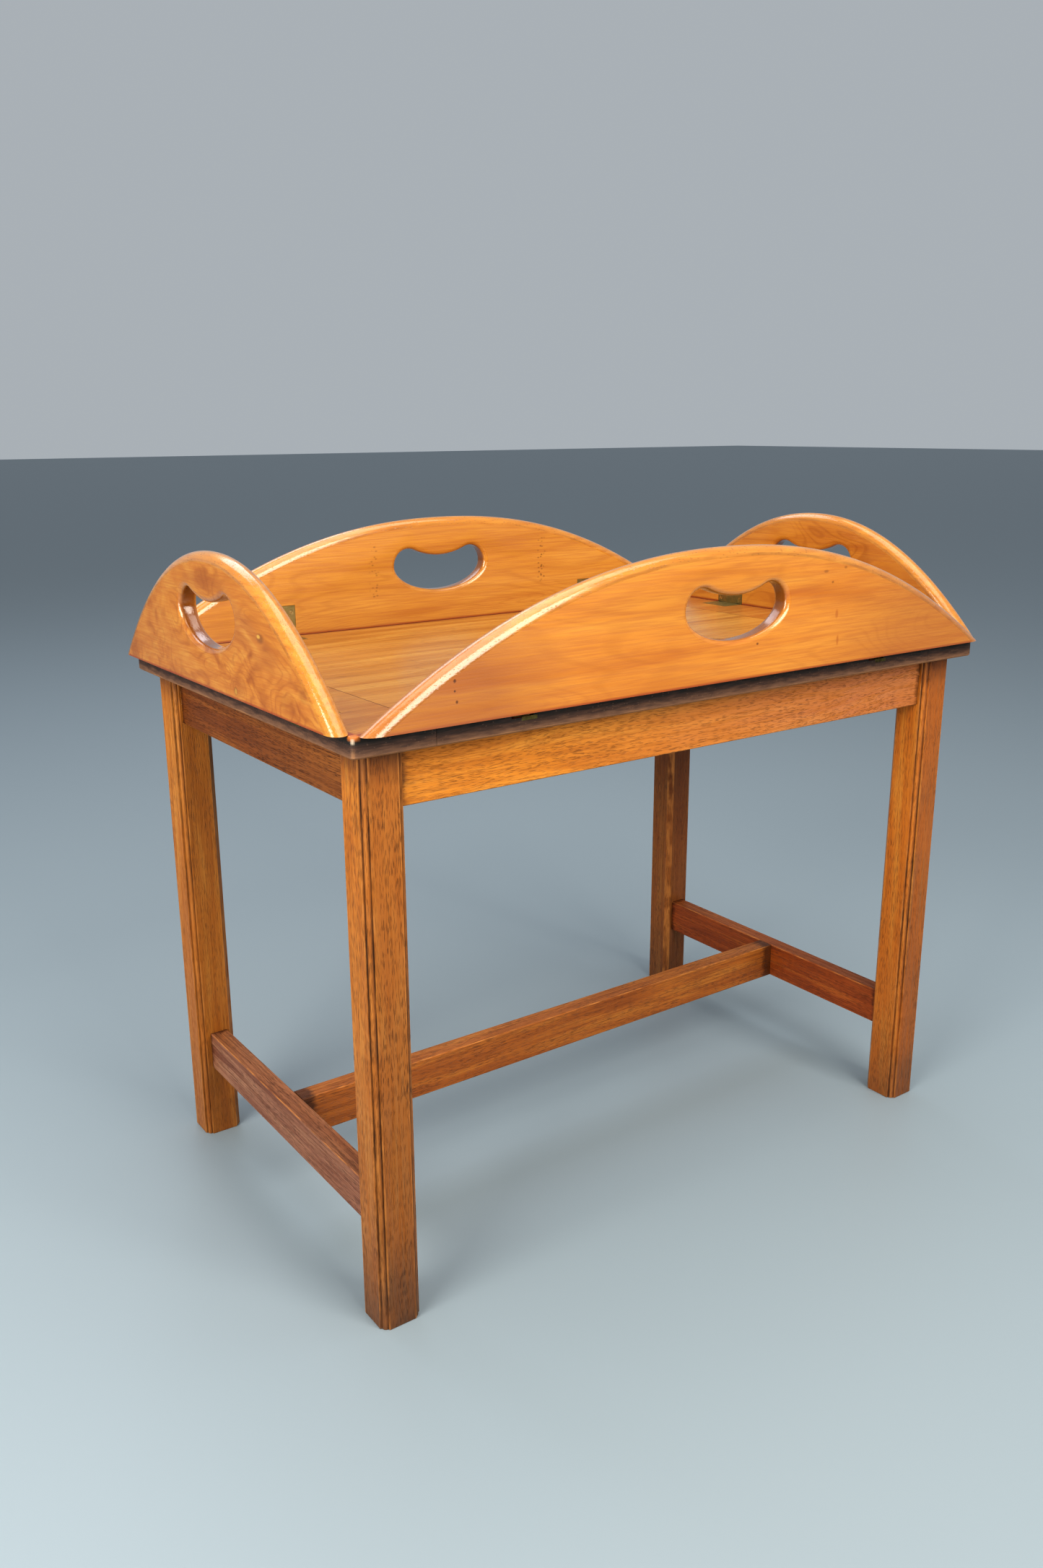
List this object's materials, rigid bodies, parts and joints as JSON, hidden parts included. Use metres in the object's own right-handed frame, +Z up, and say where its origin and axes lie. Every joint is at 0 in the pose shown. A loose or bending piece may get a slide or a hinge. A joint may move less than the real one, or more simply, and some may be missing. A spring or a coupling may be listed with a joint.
{
  "type": "butler tray",
  "caption": "Butler tray on a joined timber stand: a clamped board with arched flaps on sprung flush hinges that stand up as sides or fold flat, each with a shaped hand hole.",
  "frame": {"origin": "on the floor under the middle of the stand", "axes": "+X along the board's long side to the right, -Y towards the front flap, +Z up"},
  "size_m": [0.7344, 0.4664, 0.6253],
  "materials": {
    "stand_wood": "stained open-pored timber, waxed, worn at the arrises",
    "board_wood": "honey-brown timber with long dark grain streaks, satin polish",
    "cleat_wood": "unpolished dark timber",
    "flap_wood": "honey-orange timber, lacquered and rubbed",
    "hinge_brass": "aged satin brass",
    "pin_steel": "plain drawn wire",
    "spring_steel": "blued spring strip"
  },
  "bodies": {
    "stand": {"leg_front_left": "stand_wood", "leg_front_right": "stand_wood", "leg_rear_left": "stand_wood", "leg_rear_right": "stand_wood", "apron_front": "stand_wood", "apron_rear": "stand_wood", "apron_left": "stand_wood", "apron_right": "stand_wood", "stretcher_left": "stand_wood", "stretcher_right": "stand_wood", "stretcher_centre": "stand_wood"},
    "tray": {"tray_panel": "board_wood", "tray_end_left": "board_wood", "tray_end_right": "board_wood", "cleat_left": "cleat_wood", "cleat_right": "cleat_wood", "hinge_front_left_tray_leaf": "hinge_brass", "hinge_front_left_pin": "pin_steel", "hinge_front_left_spring": "spring_steel", "hinge_front_right_tray_leaf": "hinge_brass", "hinge_front_right_pin": "pin_steel", "hinge_front_right_spring": "spring_steel", "hinge_rear_left_tray_leaf": "hinge_brass", "hinge_rear_left_pin": "pin_steel", "hinge_rear_left_spring": "spring_steel", "hinge_rear_right_tray_leaf": "hinge_brass", "hinge_rear_right_pin": "pin_steel", "hinge_rear_right_spring": "spring_steel", "hinge_left_front_tray_leaf": "hinge_brass", "hinge_left_front_pin": "pin_steel", "hinge_left_front_spring": "spring_steel", "hinge_left_rear_tray_leaf": "hinge_brass", "hinge_left_rear_pin": "pin_steel", "hinge_left_rear_spring": "spring_steel", "hinge_right_front_tray_leaf": "hinge_brass", "hinge_right_front_pin": "pin_steel", "hinge_right_front_spring": "spring_steel", "hinge_right_rear_tray_leaf": "hinge_brass", "hinge_right_rear_pin": "pin_steel", "hinge_right_rear_spring": "spring_steel"},
    "front_flap": {"flap_front": "flap_wood", "hinge_front_left_flap_leaf": "hinge_brass", "hinge_front_right_flap_leaf": "hinge_brass"},
    "rear_flap": {"flap_rear": "flap_wood", "hinge_rear_left_flap_leaf": "hinge_brass", "hinge_rear_right_flap_leaf": "hinge_brass"},
    "left_flap": {"flap_left": "flap_wood", "hinge_left_front_flap_leaf": "hinge_brass", "hinge_left_rear_flap_leaf": "hinge_brass"},
    "right_flap": {"flap_right": "flap_wood", "hinge_right_front_flap_leaf": "hinge_brass", "hinge_right_rear_flap_leaf": "hinge_brass"}
  },
  "joints": [
    {"name": "tray_lift", "type": "slide", "parent": "stand", "child": "tray", "axis": [0, 0, 1], "range_m": [0, 0.1]},
    {"name": "front_flap_hinge", "type": "hinge", "parent": "tray", "child": "front_flap", "pos_m": [0, -0.218, 0.5097], "axis": [1, 0, 0], "range_deg": [0, 90]},
    {"name": "rear_flap_hinge", "type": "hinge", "parent": "tray", "child": "rear_flap", "pos_m": [0, 0.218, 0.5097], "axis": [-1, 0, 0], "range_deg": [0, 90]},
    {"name": "left_flap_hinge", "type": "hinge", "parent": "tray", "child": "left_flap", "pos_m": [-0.352, 0, 0.5097], "axis": [0, -1, 0], "range_deg": [0, 90]},
    {"name": "right_flap_hinge", "type": "hinge", "parent": "tray", "child": "right_flap", "pos_m": [0.352, 0, 0.5097], "axis": [0, 1, 0], "range_deg": [0, 90]}
  ]
}
